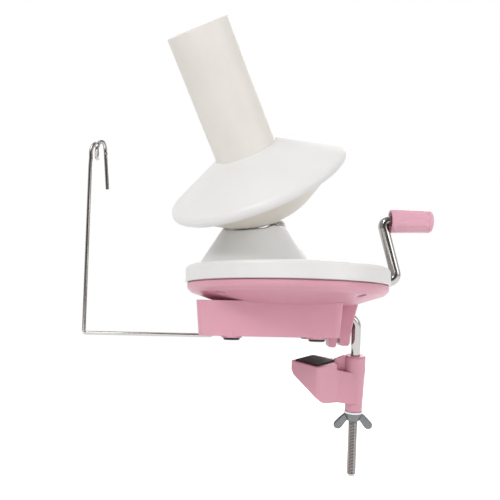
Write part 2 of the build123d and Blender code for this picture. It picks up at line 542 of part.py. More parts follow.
knob_low, knob_high = KNOB_X
cap_seat = pin_end - 1.85
knob = turned([(6.4, knob_low), (KNOB_R[0] - 1.2, knob_low), (KNOB_R[0] - 0.35, knob_low + 0.35),
               (KNOB_R[0], knob_low + 1.3), (KNOB_R[1] + 0.1, knob_high - 3.0), (5.6, knob_high - 3.0), (5.6, cap_seat),
               (SHAFT_R + FIT, cap_seat), (SHAFT_R + FIT, knob_low + 9.0), (6.4, knob_low + 9.0)])
for i in range(18):
    flute = Pos(KNOB_R[0] + 0.62, 0, knob_low + 3.0) * Rot(0, -1.3, 0) * rod(1.15, 0, 30)
    knob -= Rot(0, 0, 20 * i) * flute
knob_place = Pos(0, 0, ARM_TOP_Z) * Rot(0, 90, 0)
save(knob_place * knob, "crank_knob")
cap_r = KNOB_R[1]
cap_arc = [(cap_r - 2.4 + 2.4 * cos(radians(a)), knob_high - 2.4 + 2.4 * sin(radians(a)))
           for a in range(0, 91, 15)]
knob_cap = turned([(0, knob_high - 2.2), (3.0, knob_high - 2.2), (3.0, pin_end + 0.4), (5.6, pin_end + 0.4),
                   (5.6, knob_high - 3.0), (cap_r, knob_high - 3.0)] + cap_arc + [(0, knob_high)])
save(knob_place * knob_cap, "knob_end_cap")

# ------------------------------------------------------------------ table clamp
hook_start = 25.4
clip_x = 27.2
bend_x = ROD_X - ROD_BEND
rod_path = FilletPolyline((hook_start, 0, HOOK_Z), (ROD_X, 0, HOOK_Z), (ROD_X, 0, THREAD_START), radius=ROD_BEND)
clamp_bar = sweep(Plane(origin=(hook_start, 0, HOOK_Z), x_dir=(0, 1, 0), z_dir=(1, 0, 0)) * Circle(ROD_R),
                  path=rod_path)
turns = int((THREAD_START - ROD_END - 1.5) / THREAD_PITCH)
thread_points = [(0, THREAD_START), (ROD_R, THREAD_START)]
for i in range(turns):
    z = THREAD_START - 0.5 - i * THREAD_PITCH
    thread_points += [(ROD_R, z + 0.1), (ROD_R - 0.42, z - 0.3), (ROD_R, z - 0.7)]
last = THREAD_START - 0.5 - turns * THREAD_PITCH
thread_points += [(ROD_R, last), (ROD_R - 0.8, ROD_END), (0, ROD_END)]
thread = Pos(ROD_X, 0, 0) * turned(thread_points)
clamp_bar = clamp_bar + thread
clamp_bar -= Pos(0, 0, HOOK_Z) * Rot(0, 90, 0) * turned([(ROD_R - 0.4, clip_x), (5, clip_x), (5, clip_x + 0.9),
                                                        (ROD_R - 0.4, clip_x + 0.9)])
save(swing * clamp_bar, "clamp_rod")
rod_clip = Pos(0, 0, HOOK_Z) * Rot(0, 90, 0) * turned([(ROD_R - 0.4, clip_x), (5.4, clip_x), (5.4, clip_x + 0.9),
                                                      (ROD_R - 0.4, clip_x + 0.9)])
save(swing * rod_clip, "clamp_rod_clip")

PAD_HALF = 13.4                 # half diagonal of the square pad
PAD_X = 19.5
pad_top, rim_top, pad_floor = -13.3, -14.2, -15.3
column_r, sleeve_low = 6.8, -46.6
plan = [(3.6, 0), (PAD_X - 0.8, -15.9), (PAD_X + 1.6, -15.9), (34.0, -6.4), (46.0, -6.4), (46.0, 6.4),
        (34.0, 6.4), (PAD_X + 1.6, 15.9), (PAD_X - 0.8, 15.9)]
plan_solid = extrude(make_face(Polyline([(x, y, -60) for x, y in plan], close=True)), amount=60, dir=(0, 0, 1))
side = [(2.0, rim_top), (33.0, rim_top), (33.0, -18.2), (40.0, -19.6), (46.0, -19.8), (46.0, -40.8),
        (38.4, -40.2), (26.0, -38.5), (23.1, -37.5), (5.3, -23.0), (4.0, -20.0)]
jaw = plan_solid & side_profile(side, -20, 20)
jaw = fillet(jaw.edges().filter_by(lambda e: abs(e.center().X - 3.6) < 0.3 and e.length > 3), 1.2)
column = Pos(ROD_X, 0, 0) * turned([(0, -9.8), (column_r - 1.0, -9.8), (column_r, -10.8), (column_r, -20.0),
                                    (6.4, -26.0), (5.8, -41.0), (5.6, sleeve_low), (0, sleeve_low)])
rib = side_profile([(32.0, -12.6), (38.2, -10.0), (42.0, -10.0), (42.0, -38.0), (32.0, -38.0)], -1.4, 1.4)
pocket = side_profile([(34.6, -10), (39.6, -10), (39.6, -36.8), (34.6, -36.2)], -4.4, 4.4)
jaw = jaw - pocket + column + rib
square = Pos(PAD_X, 0, 0) * Rot(0, 0, 45) * Box(PAD_HALF * sqrt(2), PAD_HALF * sqrt(2), 40)
jaw -= square & block((-10, 60), (-30, 30), (pad_floor, -5))
jaw -= Pos(ROD_X, 0, 0) * rod(ROD_R + FIT, -60, 0)
save(swing * jaw, "clamp_jaw")
pad_side = PAD_HALF * sqrt(2) - 0.3
pad = Pos(PAD_X, 0, pad_floor) * Rot(0, 0, 45) * Box(pad_side, pad_side, pad_top - pad_floor,
                                                     align=(Align.CENTER, Align.CENTER, Align.MIN))
pad = fillet(pad.edges().filter_by(Axis.Z), 1.2)
pad = chamfer(pad.faces().sort_by(Axis.Z)[-1].edges(), 0.3)
save(swing * pad, "jaw_pad")

washer = Pos(ROD_X, 0, 0) * turned([(ROD_R + 0.1, sleeve_low), (6.3, sleeve_low), (6.3, sleeve_low - 1.2),
                                    (ROD_R + 0.1, sleeve_low - 1.2)])
save(swing * washer, "clamp_washer")
nut_top = sleeve_low - 1.2
nut = turned([(0, nut_top), (5.6, nut_top), (6.1, nut_top - 0.5), (5.6, nut_top - 2.0), (3.9, nut_top - 5.3),
              (3.5, nut_top - 5.7), (0, nut_top - 5.7)])
wing_half = [(3.0, nut_top - 0.6), (5.8, nut_top - 1.0), (7.6, nut_top - 2.8), (12.6, nut_top - 8.4),
             (12.9, nut_top - 9.6), (12.3, nut_top - 10.6), (10.6, nut_top - 11.6), (9.4, nut_top - 11.5),
             (8.5, nut_top - 10.6), (5.0, nut_top - 5.4), (3.0, nut_top - 4.6)]
wing = side_profile(wing_half, -1.0, 1.0)
nut = nut + wing + Rot(0, 0, 180) * wing - rod(ROD_R + FIT, -80, 0)
save(swing * (Pos(ROD_X, 0, 0) * nut), "wing_nut")

# ------------------------------------------------------------------ yarn guide
loop_r, loop_z = 5.6, 123.4
low = 1.6
lead = FilletPolyline((GUIDE_X, 0, 17.0), (GUIDE_X, 0, 6.6), (-45.6, 0, low), (-131.9, 0, low), (-133.4, 0, 112.0),
                      radius=1.7)
coil = [(-133.3, 0, 119.0), (-132.9, 0.4, 125.6), (-131.2, 2.4, 128.6)]
for k in range(2, 12):
    angle = radians(30 * k + 10)
    coil.append((-130.6 + 3.6 * (k - 2) / 9, loop_r * sin(angle), loop_z + loop_r * cos(angle)))
coil += [(-126.0, -1.6, 128.9), (-123.9, 0.0, 124.8), (-123.1, 0, 117.6)]
curve = Spline([(-133.4, 0, 112.0)] + coil, tangents=[(-0.0136, 0, 1), (0.1, 0, -1)])
tail = Line((-123.1, 0, 117.6), (-121.0, 0, 96.6))
wire = Wire(lead.edges() + curve.edges() + tail.edges())
guide = sweep(Plane(origin=(GUIDE_X, 0, 17.0), x_dir=(1, 0, 0), z_dir=(0, 0, -1)) * Circle(WIRE_R), path=wire)
save(guide, "yarn_guide_wire")
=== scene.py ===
from math import atan2, cos, pi, radians, sin

import bpy
from mathutils import Matrix, Vector


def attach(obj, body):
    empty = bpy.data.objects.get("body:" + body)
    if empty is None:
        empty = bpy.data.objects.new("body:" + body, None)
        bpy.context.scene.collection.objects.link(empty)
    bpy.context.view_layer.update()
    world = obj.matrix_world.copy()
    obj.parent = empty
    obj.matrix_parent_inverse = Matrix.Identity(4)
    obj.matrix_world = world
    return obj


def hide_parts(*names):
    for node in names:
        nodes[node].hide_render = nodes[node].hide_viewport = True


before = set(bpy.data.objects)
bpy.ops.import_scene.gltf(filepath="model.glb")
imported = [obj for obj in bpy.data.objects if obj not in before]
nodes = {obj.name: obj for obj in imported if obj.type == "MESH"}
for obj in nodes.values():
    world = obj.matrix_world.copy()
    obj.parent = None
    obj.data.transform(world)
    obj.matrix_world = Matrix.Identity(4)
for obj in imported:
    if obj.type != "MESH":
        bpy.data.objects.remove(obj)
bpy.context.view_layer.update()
bpy.ops.object.select_all(action="DESELECT")

# ---------------------------------------------------------------- camera
# Stands close in front of the winder, a little above the table top, and looks slightly up at it.
# It is rolled by a degree, as the photograph is.
PITCH, ROLL = 0.114, 0.022
FOCAL_PX, FRAME_PX, SENSOR_MM = 604.7, 500, 36
CAMERA_PLACE = (-0.0249, -0.3974, 0.0126)
ahead = Vector((0, cos(PITCH), sin(PITCH)))
level_right = Vector((1, 0, 0))
level_up = Vector((0, -sin(PITCH), cos(PITCH)))
right = level_right * cos(ROLL) + level_up * sin(ROLL)
up = level_up * cos(ROLL) - level_right * sin(ROLL)
camera_data = bpy.data.cameras.new("camera")
camera_data.sensor_width = SENSOR_MM
camera_data.lens = FOCAL_PX / FRAME_PX * SENSOR_MM
camera_data.clip_start = 0.01
camera = bpy.data.objects.new("camera", camera_data)
bpy.context.collection.objects.link(camera)
camera.matrix_world = Matrix((
    (right.x, up.x, -ahead.x, CAMERA_PLACE[0]),
    (right.y, up.y, -ahead.y, CAMERA_PLACE[1]),
    (right.z, up.z, -ahead.z, CAMERA_PLACE[2]),
    (0, 0, 0, 1)))
bpy.context.scene.camera = camera
bpy.context.scene.view_settings.view_transform = "Standard"

# ---------------------------------------------------------------- lamps and surroundings
# Large soft lamps at the upper left, the right and below, and one behind for the rims.
# The world is white, with a darker side behind the camera that gives the plated rods their contrast.
WORLD_FILL = 0.57


def soft_lamp(name, place, target, size, power):
    lamp_data = bpy.data.lights.new(name, "AREA")
    lamp_data.shape = "DISK"
    lamp_data.size = size
    lamp_data.energy = power
    lamp = bpy.data.objects.new(name, lamp_data)
    bpy.context.collection.objects.link(lamp)
    lamp.location = place
    lamp.rotation_euler = (Vector(target) - Vector(place)).to_track_quat("-Z", "Y").to_euler()


soft_lamp("key_lamp", (-0.55, -0.75, 0.80), (-0.02, 0, 0.06), size=0.55, power=5.4)
soft_lamp("fill_lamp", (0.85, -0.55, 0.35), (0, 0, 0.06), size=0.60, power=2.7)
soft_lamp("low_lamp", (-0.25, -0.85, -0.25), (0, 0, 0.03), size=0.60, power=2.2)
soft_lamp("back_lamp", (0.25, 0.85, 0.60), (0, 0, 0.08), size=0.55, power=2.4)

world = bpy.data.worlds.new("studio")
bpy.context.scene.world = world
world.use_nodes = True
tree = world.node_tree
tree.nodes.clear()
out = tree.nodes.new("ShaderNodeOutputWorld")
seen = tree.nodes.new("ShaderNodeBackground")
seen.inputs["Color"].default_value = (1, 1, 1, 1)
seen.inputs["Strength"].default_value = 1.0
fill = tree.nodes.new("ShaderNodeBackground")
fill.inputs["Color"].default_value = (1, 0.99, 0.98, 1)
fill.inputs["Strength"].default_value = WORLD_FILL
mirrored = tree.nodes.new("ShaderNodeBackground")
direction = tree.nodes.new("ShaderNodeTexCoord")
parts = tree.nodes.new("ShaderNodeSeparateXYZ")
ramp = tree.nodes.new("ShaderNodeValToRGB")
ramp.color_ramp.elements[0].position = 0.0
ramp.color_ramp.elements[0].color = (0.10, 0.09, 0.085, 1)
ramp.color_ramp.elements[1].position = 0.62
ramp.color_ramp.elements[1].color = (1, 1, 1, 1)
middle = ramp.color_ramp.elements.new(0.30)
middle.color = (0.34, 0.31, 0.29, 1)
half = tree.nodes.new("ShaderNodeMapRange")
half.inputs["From Min"].default_value = -1
half.inputs["From Max"].default_value = 1
tree.links.new(direction.outputs["Generated"], parts.inputs[0])
tree.links.new(parts.outputs["Y"], half.inputs["Value"])
tree.links.new(half.outputs["Result"], ramp.inputs["Fac"])
tree.links.new(ramp.outputs["Color"], mirrored.inputs["Color"])
light_path = tree.nodes.new("ShaderNodeLightPath")
gloss_mix = tree.nodes.new("ShaderNodeMixShader")
camera_mix = tree.nodes.new("ShaderNodeMixShader")
through = tree.nodes.new("ShaderNodeMath")
through.operation = "MAXIMUM"
tree.links.new(light_path.outputs["Is Camera Ray"], through.inputs[0])
tree.links.new(light_path.outputs["Is Transmission Ray"], through.inputs[1])
tree.links.new(light_path.outputs["Is Glossy Ray"], gloss_mix.inputs["Fac"])
tree.links.new(fill.outputs[0], gloss_mix.inputs[1])
tree.links.new(mirrored.outputs[0], gloss_mix.inputs[2])
tree.links.new(through.outputs[0], camera_mix.inputs["Fac"])
tree.links.new(gloss_mix.outputs[0], camera_mix.inputs[1])
tree.links.new(seen.outputs[0], camera_mix.inputs[2])
tree.links.new(camera_mix.outputs[0], out.inputs["Surface"])

# ---------------------------------------------------------------- floor
# A pale floor well below the clamp, as if the winder were held up in a white studio.
# It looks white to the camera and in the metal, and still takes the soft shadow.
FLOOR_SIZE, FLOOR_Z, FLOOR_GLOW = 8, -0.16, 0.85
bpy.ops.mesh.primitive_plane_add(size=FLOOR_SIZE, location=(0, 0, FLOOR_Z))
floor = bpy.context.object
floor.name = "floor"
floor_paint = bpy.data.materials.new("floor_paint")
floor_paint.use_nodes = True
tree = floor_paint.node_tree
tree.nodes.clear()
out = tree.nodes.new("ShaderNodeOutputMaterial")
matt = tree.nodes.new("ShaderNodeBsdfDiffuse")
matt.inputs["Color"].default_value = (0.80, 0.80, 0.80, 1)
glow = tree.nodes.new("ShaderNodeEmission")
glow.inputs["Strength"].default_value = FLOOR_GLOW
bright = tree.nodes.new("ShaderNodeAddShader")
light_path = tree.nodes.new("ShaderNodeLightPath")
seen_or_mirrored = tree.nodes.new("ShaderNodeMath")
seen_or_mirrored.operation = "MAXIMUM"
all_seen = tree.nodes.new("ShaderNodeMath")
all_seen.operation = "MAXIMUM"
pick = tree.nodes.new("ShaderNodeMixShader")
tree.links.new(light_path.outputs["Is Camera Ray"], seen_or_mirrored.inputs[0])
tree.links.new(light_path.outputs["Is Glossy Ray"], seen_or_mirrored.inputs[1])
tree.links.new(seen_or_mirrored.outputs[0], all_seen.inputs[0])
tree.links.new(light_path.outputs["Is Transmission Ray"], all_seen.inputs[1])
tree.links.new(matt.outputs[0], bright.inputs[0])
tree.links.new(glow.outputs[0], bright.inputs[1])
tree.links.new(all_seen.outputs[0], pick.inputs["Fac"])
tree.links.new(matt.outputs[0], pick.inputs[1])
tree.links.new(bright.outputs[0], pick.inputs[2])
tree.links.new(pick.outputs[0], out.inputs["Surface"])
floor.data.materials.append(floor_paint)

# ---------------------------------------------------------------- base housing
# The pink base is one moulding: a box with rounded corners, a shallow dish and the clamp's leg.
# Its gloss is broken by a faint moulding texture, and dust dulls it a little in places.


def moulded_surface():
    """Group for moulded plastic: mottled colour, uneven gloss and a fine orange-peel height."""
    group = bpy.data.node_groups.new("moulded_surface", "ShaderNodeTree")
    group.interface.new_socket("Color", in_out="INPUT", socket_type="NodeSocketColor")
    group.interface.new_socket("Shade", in_out="INPUT", socket_type="NodeSocketFloat").default_value = 0.06
    group.interface.new_socket("Gloss", in_out="INPUT", socket_type="NodeSocketFloat").default_value = 0.3
    group.interface.new_socket("Color", in_out="OUTPUT", socket_type="NodeSocketColor")
    group.interface.new_socket("Roughness", in_out="OUTPUT", socket_type="NodeSocketFloat")
    group.interface.new_socket("Height", in_out="OUTPUT", socket_type="NodeSocketFloat")
    given = group.nodes.new("NodeGroupInput")
    result = group.nodes.new("NodeGroupOutput")
    place = group.nodes.new("ShaderNodeTexCoord")
    cloud = group.nodes.new("ShaderNodeTexNoise")
    cloud.inputs["Scale"].default_value = 38
    cloud.inputs["Detail"].default_value = 3
    peel = group.nodes.new("ShaderNodeTexNoise")
    peel.inputs["Scale"].default_value = 900
    peel.inputs["Detail"].default_value = 2
    darker = group.nodes.new("ShaderNodeMix")
    darker.data_type = "RGBA"
    darker.blend_type = "MULTIPLY"
    shade = group.nodes.new("ShaderNodeMath")
    shade.operation = "MULTIPLY"
    spread = group.nodes.new("ShaderNodeMapRange")
    spread.inputs["From Min"].default_value = 0.3
    spread.inputs["From Max"].default_value = 0.7
    spread.inputs["To Min"].default_value = 0.0
    spread.inputs["To Max"].default_value = 1.0
    dull = group.nodes.new("ShaderNodeMath")
    dull.operation = "MULTIPLY_ADD"
    dull.inputs[1].default_value = 0.12
    link = group.links.new
    link(place.outputs["Object"], cloud.inputs["Vector"])
    link(place.outputs["Object"], peel.inputs["Vector"])
    link(cloud.outputs["Fac"], spread.inputs["Value"])
    link(spread.outputs["Result"], shade.inputs[0])
    link(given.outputs["Shade"], shade.inputs[1])
    link(shade.outputs[0], darker.inputs["Factor"])
    link(given.outputs["Color"], darker.inputs[6])
    darker.inputs[7].default_value = (0.55, 0.52, 0.52, 1)
    link(darker.outputs[2], result.inputs["Color"])
    link(spread.outputs["Result"], dull.inputs[0])
    link(given.outputs["Gloss"], dull.inputs[2])
    link(dull.outputs[0], result.inputs["Roughness"])
    link(peel.outputs["Fac"], result.inputs["Height"])
    return group


moulded = moulded_surface()


def plastic(name, color, gloss=0.3, shade=0.10, edge=0.0004, peel=0.00002, coat=0.0, glow=0.0):
    """Moulded plastic with softened edges."""
    material = bpy.data.materials.new(name)
    material.use_nodes = True
    tree = material.node_tree
    surface = tree.nodes["Principled BSDF"]
    look = tree.nodes.new("ShaderNodeGroup")
    look.node_tree = moulded
    look.inputs["Color"].default_value = (*color, 1)
    look.inputs["Shade"].default_value = shade
    look.inputs["Gloss"].default_value = gloss
    soft_edge = tree.nodes.new("ShaderNodeBevel")
    soft_edge.samples = 6
    soft_edge.inputs["Radius"].default_value = edge
    bump = tree.nodes.new("ShaderNodeBump")
    bump.inputs["Strength"].default_value = 0.35
    bump.inputs["Distance"].default_value = peel
    tree.links.new(look.outputs["Color"], surface.inputs["Base Color"])
    tree.links.new(look.outputs["Roughness"], surface.inputs["Roughness"])
    tree.links.new(look.outputs["Height"], bump.inputs["Height"])
    tree.links.new(soft_edge.outputs["Normal"], bump.inputs["Normal"])
    tree.links.new(bump.outputs["Normal"], surface.inputs["Normal"])
    surface.inputs["Coat Weight"].default_value = coat
    surface.inputs["Coat Roughness"].default_value = 0.15
    surface.inputs["Subsurface Weight"].default_value = glow
    surface.inputs["Subsurface Radius"].default_value = (0.004, 0.003, 0.003)
    surface.inputs["Subsurface Scale"].default_value = 1.0
    return material


def finish(material, *names):
    for name in names:
        for slot in nodes[name].material_slots:
            slot.material = material


PINK = (0.69, 0.335, 0.42)
finish(plastic("pink_moulding", PINK, gloss=0.34, edge=0.0006), "base_housing")

# ---------------------------------------------------------------- rubber feet
# Four soft black plugs pressed into bosses under the base.


def rubber(name, color, grain):
    """Matt rubber with a fine, uneven grain."""
    material = bpy.data.materials.new(name)
    material.use_nodes = True
    tree = material.node_tree
    surface = tree.nodes["Principled BSDF"]
    place = tree.nodes.new("ShaderNodeTexCoord")
    speck = tree.nodes.new("ShaderNodeTexNoise")
    speck.inputs["Scale"].default_value = grain
    tone = tree.nodes.new("ShaderNodeMapRange")
    tone.inputs["To Min"].default_value = 0.55
    tone.inputs["To Max"].default_value = 0.85
    colour = tree.nodes.new("ShaderNodeMix")
    colour.data_type = "RGBA"
    colour.inputs[6].default_value = (*color, 1)
    colour.inputs[7].default_value = (*[2.2 * c for c in color], 1)
    bump = tree.nodes.new("ShaderNodeBump")
    bump.inputs["Strength"].default_value = 0.5
    bump.inputs["Distance"].default_value = 0.0001
    tree.links.new(place.outputs["Object"], speck.inputs["Vector"])
    tree.links.new(speck.outputs["Fac"], tone.inputs["Value"])
    tree.links.new(tone.outputs["Result"], surface.inputs["Roughness"])
    tree.links.new(speck.outputs["Fac"], colour.inputs["Factor"])
    tree.links.new(colour.outputs[2], surface.inputs["Base Color"])
    tree.links.new(speck.outputs["Fac"], bump.inputs["Height"])
    tree.links.new(bump.outputs["Normal"], surface.inputs["Normal"])
    return material


finish(rubber("foot_rubber", (0.012, 0.012, 0.013), 900), "rubber_feet")

# ---------------------------------------------------------------- gear cover
# The white cover is a shallow ring with a rounded shoulder, screwed down on four bosses of the base.
WHITE = (0.78, 0.775, 0.765)
finish(plastic("white_cover", WHITE, gloss=0.32, edge=0.0005), "gear_cover")

# ---------------------------------------------------------------- turntable and spindle housing
# The turntable is a white disc in the cover's rim. The housing is a hollow white cone screwed to it,
# with the spindle's sleeve inside.
finish(plastic("white_table", (0.77, 0.765, 0.76), gloss=0.34, edge=0.0005),
       "turntable_disc", "turntable_retainer")
finish(plastic("white_housing", (0.765, 0.77, 0.77), gloss=0.30, edge=0.0012), "spindle_housing")

# ---------------------------------------------------------------- gears and washer inside
# Natural acetal gears, cream and a little waxy, with a moulded skin.
finish(plastic("acetal", (0.72, 0.69, 0.60), gloss=0.42, shade=0.2, edge=0.0002),
       "sun_gear", "thrust_washer", "turntable_gear", "spindle_pinion", "crank_gear")

# ---------------------------------------------------------------- bushes
# Turned bushes in dull brass, dry and a little grey.


def metal(name, color, gloss, streaks, shade=0.25):
    """Metal with fine uneven streaks in its gloss and a little tarnish."""
    material = bpy.data.materials.new(name)
    material.use_nodes = True
    tree = material.node_tree
    surface = tree.nodes["Principled BSDF"]
    surface.inputs["Metallic"].default_value = 1.0
    place = tree.nodes.new("ShaderNodeTexCoord")
    stretch = tree.nodes.new("ShaderNodeMapping")
    stretch.inputs["Scale"].default_value = streaks
    streak = tree.nodes.new("ShaderNodeTexNoise")
    streak.inputs["Scale"].default_value = 120
    streak.inputs["Detail"].default_value = 3
    tone = tree.nodes.new("ShaderNodeMapRange")
    tone.inputs["From Min"].default_value = 0.3
    tone.inputs["From Max"].default_value = 0.7
    tone.inputs["To Min"].default_value = gloss
    tone.inputs["To Max"].default_value = gloss + 0.10
    tarnish = tree.nodes.new("ShaderNodeTexNoise")
    tarnish.inputs["Scale"].default_value = 45
    colour = tree.nodes.new("ShaderNodeMix")
    colour.data_type = "RGBA"
    colour.inputs[6].default_value = (*color, 1)
    colour.inputs[7].default_value = (*[c * (1 - shade) for c in color], 1)
    bump = tree.nodes.new("ShaderNodeBump")
    bump.inputs["Strength"].default_value = 0.15
    bump.inputs["Distance"].default_value = 0.00002
    tree.links.new(place.outputs["Object"], stretch.inputs["Vector"])
    tree.links.new(stretch.outputs["Vector"], streak.inputs["Vector"])
    tree.links.new(place.outputs["Object"], tarnish.inputs["Vector"])
    tree.links.new(streak.outputs["Fac"], tone.inputs["Value"])
    tree.links.new(tone.outputs["Result"], surface.inputs["Roughness"])
    tree.links.new(tarnish.outputs["Fac"], colour.inputs["Factor"])
    tree.links.new(colour.outputs[2], surface.inputs["Base Color"])
    tree.links.new(streak.outputs["Fac"], bump.inputs["Height"])
    tree.links.new(bump.outputs["Normal"], surface.inputs["Normal"])
    return material


finish(metal("bush_brass", (0.60, 0.52, 0.40), 0.45, (8, 8, 8)),
       "spindle_bush_upper", "spindle_bush_lower", "crank_bush_outer", "crank_bush_inner")

# ---------------------------------------------------------------- screws, clips and pins
# Small zinc-plated fasteners, slightly blue and not polished.
finish(metal("zinc_plate", (0.60, 0.62, 0.65), 0.30, (3, 3, 3)),
       "sun_gear_screws", "cover_screws", "retainer_screws", "housing_screws", "spindle_circlip",
       "spindle_pinion_pin", "spindle_core_screw", "crank_gear_pin", "knob_retaining_clip", "clamp_rod_clip",
       "clamp_washer", "turntable_gear_pin", "turntable_axle_pin")

# ---------------------------------------------------------------- plated rods
# The crank, the clamp rod, the axles and the guide wire are bent from bright plated steel rod.
finish(metal("plated_rod", (0.42, 0.41, 0.40), 0.12, (1, 1, 12), shade=0.12),
       "crank_bar", "clamp_rod", "spindle_shaft", "turntable_axle", "yarn_guide_wire")

# ---------------------------------------------------------------- winding flange
# Two thin mouldings joined at the rim: a shallow white cone that the yarn sits against,
# and a bowl beneath it, whose beige colour is painted shade for the warm shadow under the flange. Both turn
# with the tilted spindle.
TILT, LEAN, SPINDLE_Z = radians(36.2), radians(230.4), 0.0538
SHAFT_BORE_R = 3.05
spindle_dir = Vector((sin(TILT) * cos(LEAN), sin(TILT) * sin(LEAN), cos(TILT)))
spindle_side = Vector((cos(TILT) * cos(LEAN), cos(TILT) * sin(LEAN), -sin(TILT)))
spindle_across = spindle_dir.cross(spindle_side)
spindle_frame = Matrix((
    (spindle_side.x, spindle_across.x, spindle_dir.x, 0),
    (spindle_side.y, spindle_across.y, spindle_dir.y, 0),
    (spindle_side.z, spindle_across.z, spindle_dir.z, SPINDLE_Z),
    (0, 0, 0, 1)))


def rounded(corners, radius, steps=4):
    """Outline in mm with each corner eased over radius, or over 0.45 of a shorter side."""
    eased = []
    for i, corner in enumerate(corners):
        here = Vector(corner)
        before = Vector(corners[i - 1]) - here
        after = Vector(corners[(i + 1) % len(corners)]) - here
        start = here + before * min(radius / before.length, 0.45)
        end = here + after * min(radius / after.length, 0.45)
        for k in range(steps + 1):
            t = k / steps
            eased.append(start * (1 - t) ** 2 + here * 2 * t * (1 - t) + end * t * t)
    return eased


def turn_on_lathe(name, outline, steps):
    """Spins a closed outline of (radius, height) corners in mm round the Z axis."""
    points = [(r / 1000, z / 1000) for r, z in outline]
    bpy.ops.object.select_all(action="DESELECT")
    bpy.ops.mesh.primitive_plane_add(size=0.001, location=(0, 0, 0))
    piece = bpy.context.object
    piece.name = name
    piece.data.name = name
    bpy.ops.object.mode_set(mode="EDIT")
    bpy.ops.mesh.select_all(action="SELECT")
    bpy.ops.mesh.merge(type="CENTER")
    bpy.ops.transform.translate(value=(points[0][0], 0, points[0][1]))
    for here, there in zip(points, points[1:] + points[:1]):
        step = (there[0] - here[0], 0, there[1] - here[1])
        bpy.ops.mesh.extrude_region_move(TRANSFORM_OT_translate={"value": step})
    bpy.ops.mesh.select_all(action="SELECT")
    bpy.ops.mesh.remove_doubles(threshold=0.000001)
    bpy.ops.mesh.spin(steps=steps, angle=2 * pi, center=(0, 0, 0), axis=(0, 0, 1))
    bpy.ops.mesh.select_all(action="SELECT")
    bpy.ops.mesh.remove_doubles(threshold=0.000001)
    bpy.ops.mesh.normals_make_consistent(inside=False)
    bpy.ops.object.mode_set(mode="OBJECT")
    return piece


def settle(piece, place, material, body, *replaced, angle=35):
    """Sets a finished piece in its place, smooths it, and joins it to its moving body."""
    bpy.ops.object.select_all(action="DESELECT")
    piece.select_set(True)
    bpy.context.view_layer.objects.active = piece
    piece.matrix_world = place
    bpy.ops.object.transform_apply(location=True, rotation=True, scale=True)
    bpy.ops.object.shade_smooth_by_angle(angle=radians(angle))
    piece.data.materials.clear()
    piece.data.materials.append(material)
    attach(piece, body)
    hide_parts(*replaced)


RIM_S, RIM_R, RIM_ROUND, WALL = 56.4, 57.7, 3.5, 2.0
HUB_R, HUB_TOP, NECK_S, LATHE_STEPS = 8.0, 66.0, 26.7, 160
bowl_outline = [
    (SHAFT_BORE_R, NECK_S), (4.6, NECK_S), (5.6, 28.0), (25.5, 34.8), (38.7, 44.0), (48.0, 51.0),
    (51.7, 53.7), (50.6, 55.2), (47.0, 53.2), (37.4, 46.1), (24.3, 37.0), (HUB_R, 31.6),
    (HUB_R, HUB_TOP), (SHAFT_BORE_R, HUB_TOP)]
bowl = turn_on_lathe("flange_underside", rounded(bowl_outline, 5.0), LATHE_STEPS)
flange_white = plastic("flange_white", (0.775, 0.77, 0.76), gloss=0.30, edge=0.0003)
# Painted shade: the bowl's beige colour stands in for the warm shadow under the flange on a white moulding.
flange_painted_shade = plastic("flange_painted_shade", (0.735, 0.69, 0.615), gloss=0.36, edge=0.0003)
settle(bowl, spindle_frame, flange_painted_shade, "spindle", "flange_bowl")

rim_outer = [(RIM_R - RIM_ROUND + RIM_ROUND * sin(radians(a)), RIM_S + RIM_ROUND * cos(radians(a)))
             for a in range(25, 223, 11)]
inner_round = RIM_ROUND - WALL
rim_inner = [(RIM_R - RIM_ROUND + inner_round * sin(radians(a)), RIM_S + inner_round * cos(radians(a)))
             for a in range(222, 24, -18)]
cone_outline = [(14.05, 74.6), (14.05, 76.9), (19.4, 76.9)] + rim_outer + rim_inner + [(19.9, 74.5)]
cone = turn_on_lathe("flange_face", cone_outline, LATHE_STEPS)
settle(cone, spindle_frame, flange_white, "spindle", "flange_cone")

# ---------------------------------------------------------------- core and winding tube
# The core is screwed to the spindle above the flange, and the warm white tube is pushed down over it.
finish(plastic("core_white", (0.75, 0.745, 0.73), gloss=0.4), "spindle_core")
finish(plastic("tube_moulding", (0.80, 0.765, 0.72), gloss=0.38, edge=0.0005), "core_tube")

# ---------------------------------------------------------------- knob
# A pink moulded grip that turns on the crank's pin, with eight broad, soft flutes along it.
# A domed cap closes its outer end, and the crank's rod runs into its hollow mouth.
KNOB_HEIGHT = 79.5
FLUTES, LINES_PER_FLUTE = 8, 8
OUTER_SKIN_R = 0.0073       # lines of the grip nearer its axis than this, in m, belong to its hollow
FLUTE_ENDS = (72.0, 90.0)
FADE = 1.0                  # length in mm over which a flute grows shallow at each end
knob_outline = [
    (SHAFT_BORE_R, 76.8), (6.4, 76.8), (6.35, 68.2), (6.6, 67.85), (6.9, 67.8), (7.5, 68.0), (7.85, 68.5),
    (8.0, 69.3), (7.98, 70.4), (7.96, 71.4), (7.93, 72.6), (7.56, 88.8), (7.54, 89.9), (7.52, 90.8),
    (7.50, 91.6), (7.42, 92.2), (7.2, 92.5), (5.6, 92.5), (5.6, 89.45), (SHAFT_BORE_R, 89.45)]
knob = turn_on_lathe("knob_grip", knob_outline, FLUTES * LINES_PER_FLUTE)


